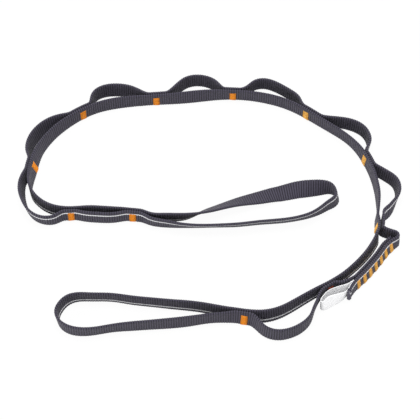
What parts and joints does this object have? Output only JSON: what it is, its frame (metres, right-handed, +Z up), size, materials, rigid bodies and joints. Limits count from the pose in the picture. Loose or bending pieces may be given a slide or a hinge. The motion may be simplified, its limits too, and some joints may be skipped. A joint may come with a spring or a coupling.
{
  "type": "climbing daisy chain",
  "caption": "Flat nylon webbing sewn into one closed loop and bar-tacked into a row of clip-in pockets with a longer loop at each end, laid in an open ring.",
  "frame": {"origin": "on the ground under the middle of the ring's bounding box", "axes": "+Z up across the webbing's width; +X along the ring's longer side, to the right in the picture; +Y away from the picture's camera"},
  "size_m": [0.3826, 0.2992, 0.018],
  "materials": {
    "webbing": "matt ribbed nylon",
    "thread": "dense zigzag stitching",
    "label_tape": "smooth satin tape"
  },
  "bodies": {
    "stretch_1": {"main_strand_1": "webbing", "pocket_strand_1": "webbing", "bar_tack_1": "thread"},
    "stretch_2": {"main_strand_2": "webbing", "pocket_strand_2": "webbing", "bar_tack_2": "thread"},
    "stretch_3": {"main_strand_3": "webbing", "pocket_strand_3": "webbing", "bar_tack_3": "thread"},
    "stretch_4": {"main_strand_4": "webbing", "pocket_strand_4": "webbing", "bar_tack_4": "thread"},
    "stretch_5": {"main_strand_5": "webbing", "pocket_strand_5": "webbing", "bar_tack_5": "thread", "bar_tack_6": "thread"},
    "stretch_6": {"main_strand_6": "webbing", "pocket_strand_6": "webbing", "bar_tack_7": "thread"},
    "stretch_7": {"main_strand_7": "webbing", "pocket_strand_7": "webbing", "bar_tack_8": "thread"},
    "stretch_8": {"main_strand_8": "webbing", "pocket_strand_8": "webbing"},
    "stretch_9": {"main_strand_9": "webbing", "splice_outer_layer": "webbing", "splice_inner_layer": "webbing", "label": "label_tape", "splice_tack_1": "thread", "splice_tack_2": "thread", "splice_tack_3": "thread", "splice_tack_4": "thread", "splice_tack_5": "thread", "splice_tack_6": "thread", "splice_tack_7": "thread", "bar_tack_9": "thread", "bar_tack_10": "thread"},
    "stretch_10": {"main_strand_10": "webbing", "pocket_strand_10": "webbing", "bar_tack_11": "thread"},
    "long_loop": {"long_end_loop": "webbing"},
    "short_loop": {"short_end_loop": "webbing"}
  },
  "joints": [
    {"name": "hinge_4", "type": "hinge", "parent": "stretch_5", "child": "stretch_4", "pos_m": [-0.06512, 0.12521, 0.009], "axis": [0, 0, -1], "range_deg": [0, 20]},
    {"name": "hinge_3", "type": "hinge", "parent": "stretch_4", "child": "stretch_3", "pos_m": [-0.14037, 0.10215, 0.009], "axis": [0, 0, -1], "range_deg": [0, 20]},
    {"name": "hinge_2", "type": "hinge", "parent": "stretch_3", "child": "stretch_2", "pos_m": [-0.18203, 0.03494, 0.009], "axis": [0, 0, -1], "range_deg": [0, 15]},
    {"name": "hinge_1", "type": "hinge", "parent": "stretch_2", "child": "stretch_1", "pos_m": [-0.12917, -0.01145, 0.009], "axis": [0, 0, -1], "range_deg": [0, 15]},
    {"name": "hinge_6", "type": "hinge", "parent": "stretch_5", "child": "stretch_6", "pos_m": [0.03397, 0.13142, 0.009], "axis": [0, 0, 1], "range_deg": [0, 20]},
    {"name": "hinge_7", "type": "hinge", "parent": "stretch_6", "child": "stretch_7", "pos_m": [0.10806, 0.10252, 0.009], "axis": [0, 0, 1], "range_deg": [0, 20]},
    {"name": "hinge_8", "type": "hinge", "parent": "stretch_7", "child": "stretch_8", "pos_m": [0.16198, 0.04442, 0.009], "axis": [0, 0, 1], "range_deg": [0, 20]},
    {"name": "hinge_9", "type": "hinge", "parent": "stretch_8", "child": "stretch_9", "pos_m": [0.16972, -0.01686, 0.009], "axis": [0, 0, 1], "range_deg": [0, 20]},
    {"name": "hinge_10", "type": "hinge", "parent": "stretch_9", "child": "stretch_10", "pos_m": [0.10742, -0.10103, 0.009], "axis": [0, 0, 1], "range_deg": [-12, 4]},
    {"name": "hinge_long_loop", "type": "hinge", "parent": "stretch_1", "child": "long_loop", "pos_m": [-0.06651, -0.01481, 0.009], "axis": [0, 0, 1], "range_deg": [-10, 10]},
    {"name": "hinge_short_loop", "type": "hinge", "parent": "stretch_10", "child": "short_loop", "pos_m": [0.02371, -0.12607, 0.009], "axis": [0, 0, 1], "range_deg": [-10, 10]}
  ]
}
